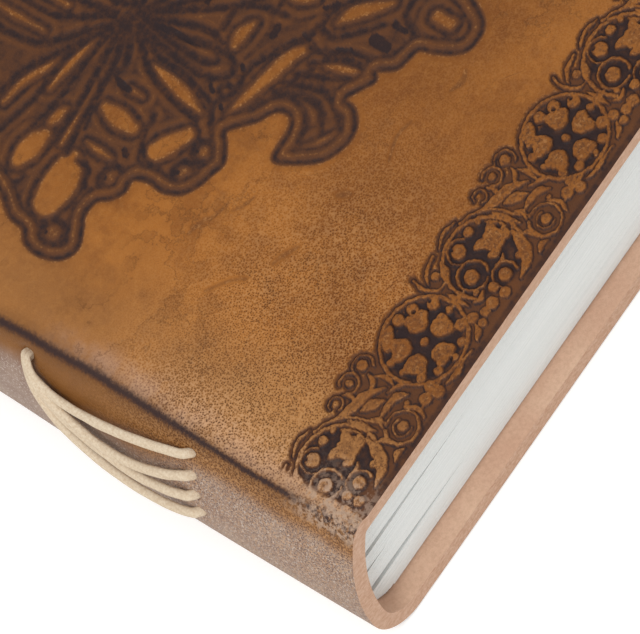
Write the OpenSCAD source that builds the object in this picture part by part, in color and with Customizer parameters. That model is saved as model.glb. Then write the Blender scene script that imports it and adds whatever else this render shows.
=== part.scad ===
// Leather journal: one thick hide wrapped round four sewn gatherings of paper.
// It lies flat on its back cover, with the spine towards -X and the tail edge at the low end of Y.
// The origin is the middle of the back cover's underside.

/* [Covers] */
// Height of the covers, from tail edge to head edge
cover_height = 210; // [150:1:300]
// Width of the front cover, from the fold to its fore-edge
cover_width = 152; // [110:1:220]
// Thickness of the hide
hide_t = 2.9; // [2:0.1:4]

/* [Spine] */
// Outer radius of the fold between the front cover and the spine
front_fold_r = 4; // [3.2:0.1:6]
// Outer radius of the bend between the spine and the back cover
back_bend_r = 8; // [6:0.1:10]
// Angle at which the spine leaves the front fold
spine_lean = 55; // [48:1:62]

/* [Pages] */
// Thickness of the page block
pages_t = 23.8; // [20:0.1:36]
// Margin of the covers past the pages at head and tail
end_margin = 4; // [2:0.5:8]
// Margin of the covers past the pages at the fore-edge
fore_margin = 4; // [2:0.5:8]
// Depth of the gaps between the folded gatherings
gap_depth = 22; // [8:1:40]
// Width of those gaps at the spine
gap_w = 1.1; // [0.6:0.1:1.6]

/* [Sewing] */
// Diameter of the linen cord
cord_d = 1.5; // [1.1:0.1:1.8]
// Distance of the outer row of holes from the head and tail edges
fan_in = 34; // [26:1:44]
// Distance of the hole that gathers the cords from the head and tail edges
gather_in = 69; // [60:1:72]
// Distance along the spine from the front fold to the first hole
first_hole = 5.6; // [4.6:0.1:7]
// Distance along the spine between one hole of the row and the next
hole_pitch = 4.8; // [4:0.1:5.2]
// How far the cords stand off the spine halfway between their holes
cord_bow = 1; // [0.4:0.1:2]
// How far the cords hang down along the spine halfway between their holes
cord_sag = 2.2; // [0:0.1:2.6]

/* [Tooling] */
// Depth of the tooled ground below the grain
tool_depth = 0.5; // [0.2:0.1:1]
// Height of the border along the head and tail edges
border_h = 18; // [16:0.5:24]
// Length of one repeat of the border
border_repeat = 39.5; // [36:0.5:50]
// Half height of the centrepiece
centre_half = 72; // [55:1:80]

/* [Hidden] */

// Gap between pieces that lie against each other
seat_gap = 0.3;
// Room round a cord in its hole or fold
cord_room = 0.3;

total_t = pages_t + 2 * seat_gap + 2 * hide_t;
spine_r = (total_t - front_fold_r * (1 - cos(spine_lean)) - back_bend_r) / cos(spine_lean);
fold_x = -front_fold_r * sin(spine_lean);
fold_z = total_t - front_fold_r * (1 - cos(spine_lean));
// Where the spine stands upright, and where the back bend ends on the flat
bulge_x = fold_x - spine_r * (1 - sin(spine_lean));
back_x = bulge_x + back_bend_r;
fold_run = front_fold_r * spine_lean * PI / 180;
arc_run = spine_r * (90 - spine_lean) * PI / 180;
bend_run = back_bend_r * PI / 2;
bend_steps = 9;

// The shapes below are drawn from the front fold, the tail edge and the underside
origin_x = (back_x + cover_width) / 2;
module in_frame() {
    translate([-origin_x, -cover_height / 2, 0]) children();
}

// Direction of the hide, in degrees below level, at a distance along the spine from the fold
function lean(run) = run < fold_run ? run / front_fold_r * 180 / PI
    : run < fold_run + arc_run ? spine_lean + (run - fold_run) / spine_r * 180 / PI
    : 90 + (run - fold_run - arc_run) / back_bend_r * 180 / PI;

// Point of the grain side of the spine at that distance, as X and Z
function grain_at(run) = let (a = lean(run)) run < fold_run
    ? [-front_fold_r * sin(a), total_t - front_fold_r * (1 - cos(a))]
    : run < fold_run + arc_run
        ? [fold_x - spine_r * (sin(a) - sin(spine_lean)), fold_z - spine_r * (cos(spine_lean) - cos(a))]
        : [back_x - back_bend_r * sin(a), back_bend_r * (1 + cos(a))];

// Point at a height above the grain side, below it where the height is negative
function spine_at(run, height) = let (a = lean(run), p = grain_at(run))
    [p[0] - height * sin(a), p[1] + height * cos(a)];

// Distances along the spine at which its outline has a point
outline_runs = concat(
    [for (i = [0:bend_steps - 1]) fold_run * i / bend_steps],
    [for (i = [0:bend_steps - 1]) fold_run + arc_run * i / bend_steps],
    [for (i = [0:bend_steps]) fold_run + arc_run + bend_run * i / bend_steps]);
function side_of(height) = [for (run = outline_runs) spine_at(run, height)];
function reversed(list) = [for (i = [len(list) - 1:-1:0]) list[i]];

// Places an outline that is drawn in X and Z so that it runs along Y
module along_y(from, to) {
    translate([0, to, 0]) rotate([90, 0, 0]) linear_extrude(to - from) children();
}

// A curve through chosen points
function blend4(a, b, c, d, t) = 0.5 * (2 * b + (c - a) * t + (2 * a - 5 * b + 4 * c - d) * t * t
    + (3 * b - a - 3 * c + d) * t * t * t);
function open_curve(p, steps) = let (n = len(p)) concat(
    [for (i = [0:n - 2], k = [0:steps - 1])
        blend4(p[max(i - 1, 0)], p[i], p[i + 1], p[min(i + 2, n - 1)], k / steps)], [p[n - 1]]);
function unit(v) = v / norm(v);
function heading(p, i) = unit(p[min(i + 1, len(p) - 1)] - p[max(i - 1, 0)]);

// A line of the tooling that narrows from its start to its end
module stroke(points, start_w, end_w, steps) {
    p = open_curve(points, steps);
    n = len(p) - 1;
    function edge(side) = [for (i = [0:n]) let (h = heading(p, i), w = start_w + (end_w - start_w) * i / n)
        p[i] + side * w / 2 * [-h[1], h[0]]];
    polygon(concat(edge(1), reversed(edge(-1))));
}

// A ring, or part of one between two angles, drawn in steps of so many degrees
module loop(centre, r, w, from, to, step) {
    steps = ceil((to - from) / step);
    function arc(radius) = [for (i = [0:steps]) let (a = from + (to - from) * i / steps)
        centre + radius * [cos(a), sin(a)]];
    polygon(concat(arc(r + w / 2), reversed(arc(r - w / 2))));
}

module bud(centre, r) {
    translate(centre) circle(r, $fn = 8);
}

// Drop shape, round at one end and pointed at the other
drop_steps = 4;
module drop(centre, length, width, turn) {
    function side(i) = let (t = i / drop_steps) [length * (t - 0.5), width / 2 * sin(180 * pow(t, 0.6))];
    translate(centre) rotate(turn) polygon(concat([for (i = [0:drop_steps]) side(i)],
        [for (i = [drop_steps - 1:-1:1]) [side(i)[0], -side(i)[1]]]));
}

// The ring of the border that holds a five-petalled flower
ring_r = 7.3;
stem_w = 0.9;
petal_count = 5;
module flower_ring() {
    difference() {
        circle(ring_r + stem_w / 2, $fn = 20);
        circle(ring_r - stem_w / 2, $fn = 20);
    }
    for (i = [0:petal_count - 1]) rotate(-15 + i * 360 / petal_count) bud([3.4, 0], 1.75);
}

// The scroll of the border, with its leaf and its inner curl
module leaf_scroll() {
    loop([0, 0], ring_r, stem_w, -75, 190, 24);
    loop([-3.4, -0.8], 2.9, stem_w, -60, 250, 40);
    bud([-3.7, -1], 1.4);
    bud([2.6, 0.5], 2.4);
    bud([-0.8, 4.2], 1.3);
    stroke([[-1.6, -6.4], [2, -5.4], [5.2, -1.8]], 0.8, 2.4, 2);
}

// The tendrils that fill the space after the scroll
module tendrils() {
    loop([0, 4.4], 2.3, stem_w, -120, 150, 45);
    loop([0, -5.2], 2.4, stem_w, -200, 120, 45);
    drop([-0.6, 0], 5, 2, -50);
}

// Everything raised in the border
scroll_at = 6.5;
tendrils_at = 17.5;
flower_at = 29.5;
star_at = 38;
module border_motifs() {
    for (start = [0:border_repeat:cover_width]) translate([start, border_h / 2]) {
        translate([scroll_at, 0]) leaf_scroll();
        translate([tendrils_at, 0]) tendrils();
        translate([flower_at, 0]) flower_ring();
        translate([star_at, 0]) circle(1.6, $fn = 4);
    }
}

// The sunk ground of one border, which ends in a halo round its rings
halo = 0.9;
module border_ground() {
    intersection() {
        square([cover_width, border_h]);
        difference() {
            union() {
                square([cover_width, border_h - ring_r / 2]);
                for (start = [0:border_repeat:cover_width], at = [scroll_at, flower_at])
                    translate([start + at, border_h / 2]) circle(ring_r + stem_w / 2 + halo, $fn = 20);
            }
            border_motifs();
        }
    }
}

// One quarter of the centrepiece. Points are measured from its middle, outwards to the side
// and down to the tail, on a medallion whose half height is 72.
drawn_half = 72;
lobe_line = [[-9, 70], [0, 72], [4.2, 70], [5.9, 64.5], [10.4, 63], [12.3, 60.2], [16.4, 59.5],
    [19.6, 61], [24.9, 63.3], [30.4, 59.5], [32.9, 54.5], [25.6, 53], [26.4, 49], [32.9, 44],
    [37.4, 47], [42.4, 45.7], [46.1, 41], [46.4, 35.6], [50.4, 35],
    [53.9, 31.2], [60.9, 34.2], [64.9, 29.5], [62.3, 21.5], [59.1, 16.5], [64.9, 10.5], [66.9, 0], [64.9, -9]];
vein_root = [24.9, 17];
vein_ends = [[51, 12], [49, 23], [36, 31], [26, 40], [14, 33]];
drops = [[39.8, 26, 11, 4.4, 75], [31, 32.5, 11, 4, 82], [18, 36.5, 10, 4.4, 60], [22, 45, 17, 3.8, 15],
    [0.5, 65, 10, 5, 90], [6, 50, 12, 4.4, 60], [55, 25.5, 11, 6, 10], [39.5, 37.5, 9, 5, 60]];
leaf_lines = [[[23, 49], [20, 54], [27, 59]], [[17, 48], [13, 53], [13.5, 58]]];
line_w = 1.1;
rim_w = 2.2;
module centre_quarter() {
    side = concat(lobe_line, [[-9, -9]]);
    intersection() {
        square([cover_width, drawn_half + line_w]);
        for (inset = [0, -rim_w]) difference() {
            offset(delta = inset + line_w / 2) polygon(side);
            offset(delta = inset - line_w / 2) polygon(side);
        }
    }
    for (end = vein_ends) stroke([vein_root, (vein_root + end) / 2 + [1, -1.5], end], 2.2, 0.6, 1);
    stroke([vein_root, [12, 10], [4, 3]], 2.2, 1, 1);
    for (d = drops) difference() {
        drop([d[0], d[1]], d[2] + line_w, d[3] + line_w, d[4]);
        drop([d[0], d[1]], d[2] - line_w, d[3] - line_w, d[4]);
    }
    for (line = leaf_lines) stroke(line, 0.6, 1.1, 2);
}

// The sunk lines of the whole centrepiece
// The middle of what shows of the front cover, from the burnished line at the fold to the fore-edge
crease_in = 1.7;
centre_x = (cover_width - crease_in) / 2;
module centre_lines() {
    size = centre_half / drawn_half;
    translate([centre_x, cover_height / 2]) scale([size, size])
        for (x_side = [0, 1], y_side = [0, 1]) mirror([x_side, 0]) mirror([0, y_side]) centre_quarter();
}

module front_cover() {
    color("#a9713c") in_frame() difference() {
        translate([0, 0, total_t - hide_t]) cube([cover_width, cover_height, hide_t]);
        translate([0, 0, total_t - tool_depth]) linear_extrude(2 * tool_depth) offset(delta = 0.02) {
            border_ground();
            translate([0, cover_height]) mirror([0, 1]) border_ground();
            centre_lines();
        }
    }
}

module back_cover() {
    color("#a9713c") in_frame() translate([back_x, 0, 0]) cube([cover_width - back_x, cover_height, hide_t]);
}

// Sewing holes: one row of four near each end, and one hole that gathers their cords
cord_count = 4;
cords = [for (i = [0:cord_count - 1]) i];
function hole_run(i) = first_hole + i * hole_pitch;
hole_d = cord_d + cord_room;
cord_step = cord_d + 0.25;
gather_d = cord_step * sqrt(2) + hole_d;
// Distance along the spine from the first hole of the row to the middle of the gathering hole
gather_past = 0.3;
gather_run = first_hole + gather_past;
ends = [0, 1];

// Puts a shape with its Z axis square to the grain at a place on the spine
module on_spine(run, from_edge, end, height) {
    p = spine_at(run, height);
    translate([p[0], end == 0 ? from_edge : cover_height - from_edge, p[1]]) rotate([0, -lean(run), 0]) children();
}

module spine_leather() {
    color("#a9713c") in_frame() difference() {
        along_y(0, cover_height) polygon(concat(side_of(0), reversed(side_of(-hide_t))));
        for (end = ends) {
            for (i = cords) on_spine(hole_run(i), fan_in, end, -2 * hide_t) cylinder(3 * hide_t, d = hole_d, $fn = 24);
            on_spine(gather_run, gather_in, end, -2 * hide_t) cylinder(3 * hide_t, d = gather_d, $fn = 32);
        }
    }
}

// The pages: one solid, with gaps between the gatherings and slots where the cords lie in their folds
pages_z = hide_t + seat_gap;
gap_shares = [0.25, 0.52, 0.8];
fold_room = cord_d + cord_room;
knot_d = 4.6;
knot_h = 1.8;
pocket_h = knot_h + seat_gap;
fold_depth = 3 * cord_d + knot_h;
module page_block() {
    inner = [for (p = side_of(-hide_t - seat_gap)) [p[0], min(p[1], pages_z + pages_t)]];
    color("#deded4") in_frame() difference() {
        along_y(end_margin, cover_height - end_margin) difference() {
            polygon(concat(inner, [[cover_width - fore_margin, pages_z], [cover_width - fore_margin, pages_z + pages_t]]));
            for (share = gap_shares) let (z = pages_z + pages_t * (1 - share)) polygon([
                [bulge_x - 1, z + gap_w / 2], [bulge_x + hide_t + gap_depth, z - gap_w], [bulge_x - 1, z - gap_w / 2]]);
        }
        for (i = cords) on_spine(hole_run(i), fan_in - hole_d, 0, -hide_t - fold_depth)
            translate([-fold_room / 2, 0, 0]) cube([fold_room, cover_height - 2 * (fan_in - hole_d), 2 * fold_depth]);
        for (end = ends) on_spine(gather_run, gather_in, end, -hide_t - seat_gap - pocket_h)
            cylinder(3 * pocket_h, d = knot_d + 2 * seat_gap, $fn = 32);
    }
}

// A cord: from the gathering hole out along the spine, in at its own hole, along the fold
// inside the pages, and back the same way at the head
cord_sides = 8;
knot_top = -hide_t - seat_gap;
lie = cord_d / 2 + 0.15;
// The cord turns into a hole round its edge, on this radius
turn_r = cord_d / 2 + 0.15;
fan_shares = [0.07, 0.12, 0.18, 0.26, 0.34, 0.42, 0.55, 0.7, 0.82, 0.9];
merge_share = 0.42;
// Cords 1 and 3 enter the gathering hole on the side of the fan, and 2 and 4 pass over them
function over(i, t) = let (u = cos(90 * min(1, t / merge_share)))
    0.25 * u + (i % 2 == 0 ? 0 : (cord_step + 0.05) * sqrt(u));
function enter_run(i) = gather_run + (i < 2 ? -1 : 1) * cord_step / 2;
function enter_in(i) = gather_in + (i % 2 == 0 ? -1 : 1) * cord_step / 2;
function run_at(i, t) = enter_run(i) + (hole_run(i) - enter_run(i)) * t + cord_sag * sin(180 * t);
function route_point(run, y, height) = let (p = spine_at(run, height)) [p[0], y, p[1]];
turn_share = 1 - sqrt(0.5);
function half_route(i) = let (g = enter_run(i), y = enter_in(i), top = lie + over(i, 0), h = hole_run(i)) concat(
    [route_point(g, y, knot_top + 0.1), route_point(g, y, -hide_t / 2), route_point(g, y, top - turn_r),
        route_point(g, y - turn_r * turn_share, top - turn_r * turn_share), route_point(g, y - turn_r, top)],
    [for (t = fan_shares) route_point(run_at(i, t), y + (fan_in - y) * t,
        lie + over(i, t) + cord_bow * sin(180 * t))],
    [route_point(h, fan_in + turn_r, lie), route_point(h, fan_in + turn_r * turn_share, lie - turn_r * turn_share),
        route_point(h, fan_in, lie - turn_r), route_point(h, fan_in, -hide_t / 2),
        route_point(h, fan_in, -hide_t - seat_gap), route_point(h, fan_in, -hide_t - 2 * cord_d)]);
function at_head(p) = [p[0], cover_height - p[1], p[2]];
function fold_point(i, y) = route_point(hole_run(i), y, -hide_t - 3 * cord_d);
function cord_route(i) = let (half = half_route(i)) concat(half,
    [fold_point(i, fan_in + 2 * cord_d), fold_point(i, cover_height / 3), fold_point(i, cover_height * 2 / 3),
        fold_point(i, cover_height - fan_in - 2 * cord_d)], [for (p = reversed(half)) at_head(p)]);

module swept_tube(route, d) {
    p = open_curve(route, 2);
    n = len(p);
    // Each ring is turned no more than the curve needs
    function frames(i, side) = i == n ? [] : let (h = heading(p, i), s = unit(side - (side * h) * h))
        concat([[for (k = [0:cord_sides - 1]) let (a = 360 * k / cord_sides)
            p[i] + d / 2 * (cos(a) * s + sin(a) * cross(h, s))]], frames(i + 1, s));
    rings = frames(0, [0, 1, 0.01]);
    polyhedron([for (ring = rings, v = ring) v], concat(
        [[for (k = [0:cord_sides - 1]) k]],
        [for (i = [0:n - 2], k = [0:cord_sides - 1]) let (m = (k + 1) % cord_sides)
            [i * cord_sides + k, (i + 1) * cord_sides + k, (i + 1) * cord_sides + m, i * cord_sides + m]],
        [[for (k = [cord_sides - 1:-1:0]) (n - 1) * cord_sides + k]]));
}

module cord(i) {
    color("#d8c8ae") in_frame() swept_tube(cord_route(i), cord_d);
}
module cord_1() cord(0);
module cord_2() cord(1);
module cord_3() cord(2);
module cord_4() cord(3);

// The four ends are tied off in a flat knot between the spine and the pages
module knot(end) {
    color("#d8c8ae") in_frame() on_spine(gather_run, gather_in, end, knot_top - knot_h) cylinder(knot_h, d = knot_d, $fn = 32);
}
module tail_knot() knot(0);
module head_knot() knot(1);

front_cover();
back_cover();
spine_leather();
page_block();
cord_1();
cord_2();
cord_3();
cord_4();
tail_knot();
head_knot();
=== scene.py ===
import math
import bpy
import numpy as np
from mathutils import Matrix, Vector


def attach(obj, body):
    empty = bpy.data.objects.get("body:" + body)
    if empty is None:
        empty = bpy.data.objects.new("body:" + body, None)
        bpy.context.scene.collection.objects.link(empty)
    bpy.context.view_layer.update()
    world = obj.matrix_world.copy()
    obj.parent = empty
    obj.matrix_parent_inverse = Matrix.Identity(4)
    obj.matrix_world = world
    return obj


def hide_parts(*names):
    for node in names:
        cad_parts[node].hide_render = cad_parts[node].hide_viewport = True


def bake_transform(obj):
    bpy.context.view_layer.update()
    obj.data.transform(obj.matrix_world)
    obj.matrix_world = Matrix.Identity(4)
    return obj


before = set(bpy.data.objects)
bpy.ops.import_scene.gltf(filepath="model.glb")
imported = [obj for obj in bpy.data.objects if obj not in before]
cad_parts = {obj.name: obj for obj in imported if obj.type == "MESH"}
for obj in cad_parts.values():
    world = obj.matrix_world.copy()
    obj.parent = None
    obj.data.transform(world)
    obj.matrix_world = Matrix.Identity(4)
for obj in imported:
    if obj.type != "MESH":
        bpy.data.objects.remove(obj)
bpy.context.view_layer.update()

# The hide of the front cover, the fold and the spine: vegetable-tanned leather 2.9 mm thick, cut by hand,
# bent round the pages while damp and rubbed dark along the fold. The grain is open and smooth, the flesh
# side rough. Its tooled parts are the pieces after this one, cut from the same hide.
cover_w, cover_h, hide_t, top_z = 152.0, 210.0, 2.9, 30.2
fold_r, spine_r, bend_r, fold_turn = 4.0, 35.7307, 8.0, math.radians(55)
fold_len, spine_len, bend_len = fold_r * fold_turn, spine_r * (math.pi / 2 - fold_turn), bend_r * math.pi / 2
fold_x = -fold_r * math.sin(fold_turn)
back_x = fold_x - spine_r * (1 - math.sin(fold_turn)) + bend_r
to_frame = np.array([-(back_x + cover_w) / 2, -cover_h / 2, 0.0])


def hide_angle(run):
    """How far the hide has turned from level, at a distance along it from the fold, positive over the
    spine and negative on the cover."""
    on_fold = np.clip(run, 0, fold_len) / fold_r
    on_spine = np.clip(run - fold_len, 0, spine_len) / spine_r
    on_bend = np.clip(run - fold_len - spine_len, 0, bend_len) / bend_r
    return on_fold + on_spine + on_bend


def hide_point(run, y, depth):
    """Points at a depth below the grain, in mm from the fold, the tail edge and the table."""
    a1 = np.clip(run, 0, fold_len) / fold_r
    a2 = fold_turn + np.clip(run - fold_len, 0, spine_len) / spine_r
    a3 = math.pi / 2 + np.clip(run - fold_len - spine_len, 0, bend_len) / bend_r
    x = np.maximum(-run, 0) - fold_r * np.sin(a1) - spine_r * (np.sin(a2) - math.sin(fold_turn))
    x += bend_r * (1 - np.sin(a3)) + np.maximum(run - fold_len - spine_len - bend_len, 0)
    z = top_z - fold_r * (1 - np.cos(a1)) - spine_r * (math.cos(fold_turn) - np.cos(a2))
    z += bend_r * np.cos(a3)
    a = hide_angle(run)
    return np.stack([x + depth * np.sin(a), y + 0 * x, z - depth * np.cos(a)], axis=-1)


def smooth(value, low, high):
    """A smooth step from 0 to 1 as a value goes from low to high."""
    t = np.clip((value - low) / (high - low), 0, 1)
    return t * t * (3 - 2 * t)


hollow_depth, hollow_start, hollow_end = 1.5, 5.0, 41.0


def unevenness(run, y):
    """The slight rise and fall, in mm, of a hide that was bent by hand, with the shallow hollow that it has
    along the middle of the spine."""
    slow = 0.10 * np.sin(run / 21 + 1.3) * np.sin(y / 34 + 0.4) + 0.06 * np.sin(run / 9 - y / 15)
    across = np.clip((run - hollow_start) / (hollow_end - hollow_start), 0, 1)
    hollow = hollow_depth * smooth(np.minimum(y, cover_h - y), 38, 92) * np.sin(math.pi * across) ** 2
    return slow * np.clip(np.abs(run - 2) / 12, 0.15, 1) - hollow


def mesh_piece(name, points, faces, materials, face_slots=None, angle=50):
    """A mesh from points in mm and from faces, smooth up to an angle between its faces."""
    mesh = bpy.data.meshes.new(name)
    mesh.from_pydata(((np.asarray(points, float) + to_frame) * 0.001).tolist(), [], [list(f) for f in faces])
    for material in materials:
        mesh.materials.append(material)
    if face_slots is not None:
        mesh.polygons.foreach_set("material_index", np.asarray(face_slots, np.int32))
    mesh.validate()
    piece = bpy.data.objects.new(name, mesh)
    bpy.context.scene.collection.objects.link(piece)
    bpy.ops.object.select_all(action="DESELECT")
    piece.select_set(True)
    bpy.context.view_layer.objects.active = piece
    bpy.ops.object.mode_set(mode="EDIT")
    bpy.ops.mesh.select_all(action="SELECT")
    bpy.ops.mesh.normals_make_consistent(inside=False)
    bpy.ops.object.mode_set(mode="OBJECT")
    bpy.ops.object.shade_smooth_by_angle(angle=math.radians(angle))
    return piece


def set_values(piece, name, values):
    """Keeps one number for each point of a piece, for its material to read."""
    layer = piece.data.attributes.new(name, "FLOAT", "POINT")
    layer.data.foreach_set("value", np.asarray(values, np.float32))


def slab(name, keep, outer, inner, materials):
    """A closed slab: outer and inner are grids of points, and keep says which of their cells are there.
    The walls round it are the cut edge."""
    rows, columns = outer.shape[:2]
    index = np.arange(rows * columns).reshape(rows, columns)
    under = index + rows * columns
    r, c = np.nonzero(keep)
    corners = np.stack([index[r, c], index[r + 1, c], index[r + 1, c + 1], index[r, c + 1]], axis=1)
    below = np.stack([under[r, c], under[r, c + 1], under[r + 1, c + 1], under[r + 1, c]], axis=1)
    walls = []
    padded = np.pad(keep, 1)
    for dr, dc, first, second in ((-1, 0, (0, 1), (0, 0)), (1, 0, (1, 0), (1, 1)), (0, -1, (0, 0), (1, 0)),
                                  (0, 1, (1, 1), (0, 1))):
        wr, wc = np.nonzero(keep & ~padded[1 + dr:1 + dr + keep.shape[0], 1 + dc:1 + dc + keep.shape[1]])
        a, b = (wr + first[0], wc + first[1]), (wr + second[0], wc + second[1])
        walls.append(np.stack([index[a], under[a], under[b], index[b]], axis=1)[:, ::-1])
    faces = np.concatenate([corners, below] + walls)
    wall_count = len(faces) - 2 * len(corners)
    slots = np.repeat([0, 1, 2], [len(corners), len(below), wall_count])
    used = np.unique(faces)
    lookup = np.zeros(2 * rows * columns, int)
    lookup[used] = np.arange(len(used))
    points = np.concatenate([outer.reshape(-1, 3), inner.reshape(-1, 3)])[used]
    return mesh_piece(name, points, lookup[faces].tolist(), materials, slots), used


def linear(code):
    """An sRGB hex colour as linear red, green, blue and alpha."""
    parts = [int(code[i:i + 2], 16) / 255 for i in (1, 3, 5)]
    return [p / 12.92 if p <= 0.04045 else ((p + 0.055) / 1.055) ** 2.4 for p in parts] + [1.0]


def add(tree, kind, inputs=(), output=0, **settings):
    """Adds a node with its settings and gives one of its outputs. The inputs are listed in their order, or
    named, and each is a value or a socket to join."""
    node = tree.nodes.new("ShaderNode" + kind)
    for key, value in settings.items():
        setattr(node, key, value)
    for key, value in (inputs.items() if isinstance(inputs, dict) else enumerate(inputs)):
        if isinstance(value, bpy.types.NodeSocket):
            tree.links.new(value, node.inputs[key])
        else:
            node.inputs[key].default_value = value
    return node.outputs[output] if len(node.outputs) else None


def new_material(name):
    """A material with only its shader and output, its tree, the shader and a place in mm."""
    material = bpy.data.materials.new(name)
    material.use_nodes = True
    tree = material.node_tree
    tree.nodes.clear()
    shader = add(tree, "BsdfPrincipled").node
    add(tree, "OutputMaterial", {"Surface": shader.outputs[0]})
    metres = add(tree, "TexCoord", output="Object")
    millimetres = add(tree, "VectorMath", {0: metres, "Scale": 1000.0}, operation="SCALE")
    return material, tree, shader, millimetres


# Settings that many nodes share. A smooth step goes from one share to another as its first input goes
# from its second to its third, and a share as its last input is multiplied by it.
smoothly, colours = {"interpolation_type": "SMOOTHSTEP"}, {"data_type": "RGBA"}
plus, minus, times, unsigned = ({"operation": name} for name in ("ADD", "SUBTRACT", "MULTIPLY", "ABSOLUTE"))
times_plus = {"operation": "MULTIPLY_ADD"}

# Grain side of the hide: vegetable-tanned cowhide, dyed tan by hand, so its colour is cloudy and its
# sheen low. Its pores show best near the ends, and they are drawn a little coarser than real ones.
grain, tree, shader, place = new_material("tanned_hide_grain")
run_value = add(tree, "Attribute", output="Fac", attribute_name="run")
dye_value = add(tree, "Attribute", output="Fac", attribute_name="dye")
across = add(tree, "SeparateXYZ", [place], 1)
from_end = add(tree, "Math", [cover_h / 2, add(tree, "Math", [across], **unsigned)], **minus)
clouds = add(tree, "TexNoise", {"Vector": place, "Scale": 0.028, "Detail": 5.0, "Roughness": 0.55})
mottle = add(tree, "TexNoise", {"Vector": place, "Scale": 0.22, "Detail": 6.0, "Roughness": 0.62})
fine = add(tree, "TexNoise", {"Vector": place, "Scale": 1.1, "Detail": 4.0, "Roughness": 0.6})

# The dark crease beside the fold wanders, is ragged, and bows out behind the cords
crease_run = 2.3
wander = add(tree, "TexNoise", {"Vector": place, "Scale": 0.09, "Detail": 3.0})
wander = add(tree, "Math", [wander, 3.2, -1.6], **times_plus)
ragged = add(tree, "TexNoise", {"Vector": place, "Scale": 1.5, "Detail": 5.0, "Roughness": 0.75})
ragged = add(tree, "Math", [ragged, 1.5, -0.75], **times_plus)
bowed = add(tree, "MapRange", [from_end, 88.0, 62.0, 0.0, 0.5], **smoothly)
bowed = add(tree, "MapRange", [from_end, 24.0, 46.0, 0.0, bowed], **smoothly)
from_line = add(tree, "Math", [run_value, crease_run], **minus)
from_line = add(tree, "Math", [wander, 0.35, from_line], **times_plus)
from_line = add(tree, "Math", [from_line, bowed], **plus)
off_line = add(tree, "Math", [add(tree, "Math", [from_line], **unsigned), ragged], **plus)
on_cover = add(tree, "MapRange", [run_value, 1.2, 2.4, 1.0, 0.0], **smoothly)

# The plain hide: it pales towards the fold, with a painted sheen beside it and painted shade far from it,
# and has blotches, veins and faint scratches
cloudy = add(tree, "MapRange", [clouds, 0.36, 0.66], **smoothly)
darker = add(tree, "MapRange", [mottle, 0.40, 0.68, 0.0, 0.48], **smoothly)
lighter = add(tree, "MapRange", [fine, 0.42, 0.75, 0.0, 0.20], **smoothly)
# Painted shade: the hide is darkened away from the fold, as if the light fell off there
painted_falloff_shade = add(tree, "MapRange", [run_value, -30.0, -130.0, 0.0, 0.30], **smoothly)
paler = add(tree, "Math", [wander, 3.0, run_value], **times_plus)
paler = add(tree, "MapRange", [paler, -24.0, -0.5, 0.0, 0.62], **smoothly)
near_tail = add(tree, "MapRange", [from_end, 58.0, 12.0, 0.45, 1.0], **smoothly)
for share in (on_cover, near_tail):
    paler = add(tree, "Math", [paler, share], **times)
# Painted sheen: a greyish pale haze beside the crease near each end stands in for the light's reflection
painted_sheen = add(tree, "MapRange", [mottle, 0.34, 0.60, 0.10, 0.62], **smoothly)
painted_sheen = add(tree, "MapRange", [from_line, -6.5, -1.0, 0.0, painted_sheen], **smoothly)
painted_sheen = add(tree, "MapRange", [from_end, 72.0, 55.0, 0.0, painted_sheen], **smoothly)
painted_sheen = add(tree, "Math", [painted_sheen, on_cover], **times)
blotch = add(tree, "TexNoise", {"Vector": place, "Scale": 0.07, "Detail": 6.0, "Roughness": 0.72})
blotch = add(tree, "MapRange", [blotch, 0.55, 0.70, 0.0, 0.42], **smoothly)
vein = add(tree, "TexNoise", {"Vector": place, "Scale": 0.11, "Detail": 6.0, "Roughness": 0.62})
vein = add(tree, "Math", [add(tree, "Math", [vein, 0.5], **minus)], **unsigned)
vein = add(tree, "MapRange", [vein, 0.0, 0.016, 0.42, 0.0], **smoothly)
veined = add(tree, "TexNoise", {"Vector": place, "Scale": 0.045, "Detail": 3.0})
vein = add(tree, "MapRange", [veined, 0.44, 0.60, 0.0, vein], **smoothly)
scratch = add(tree, "VectorRotate", {"Vector": place, "Angle": 0.7}, rotation_type="Z_AXIS")
scratch = add(tree, "VectorMath", [scratch, (0.05, 1.1, 0.3)], **times)
scratch = add(tree, "TexNoise", {"Vector": scratch, "Scale": 1.0, "Detail": 3.0, "Roughness": 0.6})
scratch = add(tree, "MapRange", [scratch, 0.68, 0.76, 0.0, 0.45], **smoothly)
scratch = add(tree, "MapRange", [clouds, 0.48, 0.58, 0.0, scratch], **smoothly)
tan = add(tree, "Mix", {0: cloudy, 6: linear("#824c19"), 7: linear("#a36528")}, 2, **colours)
for share, colour in ((darker, "#6c3b17"), (lighter, "#b37a3c"), (painted_falloff_shade, "#6f431d"), (paler, "#b98854"),
                      (painted_sheen, "#b8937c"), (blotch, "#63391a"), (vein, "#55300f"), (scratch, "#5c3415")):
    tan = add(tree, "Mix", {0: share, 6: tan, 7: linear(colour)}, 2, **colours)

# The spine: ochre next to the crease, and below it a pale grey painted reflection of the bright room, less
# so under the cords
spine_share = add(tree, "MapRange", [run_value, 46.0, 34.0], **smoothly)
spine_share = add(tree, "MapRange", [run_value, 1.6, 3.2, 0.0, spine_share], **smoothly)
under_cords = add(tree, "MapRange", [from_end, 72.0, 58.0, 0.0, 5.0], **smoothly)
under_cords = add(tree, "MapRange", [from_end, 32.0, 46.0, 0.0, under_cords], **smoothly)
past_ochre = add(tree, "Math", [run_value, wander], **plus)
past_ochre = add(tree, "Math", [past_ochre, under_cords], **minus)
ochre = add(tree, "Mix", {0: mottle, 6: linear("#6f441a"), 7: linear("#8e5f32")}, 2, **colours)
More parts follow.
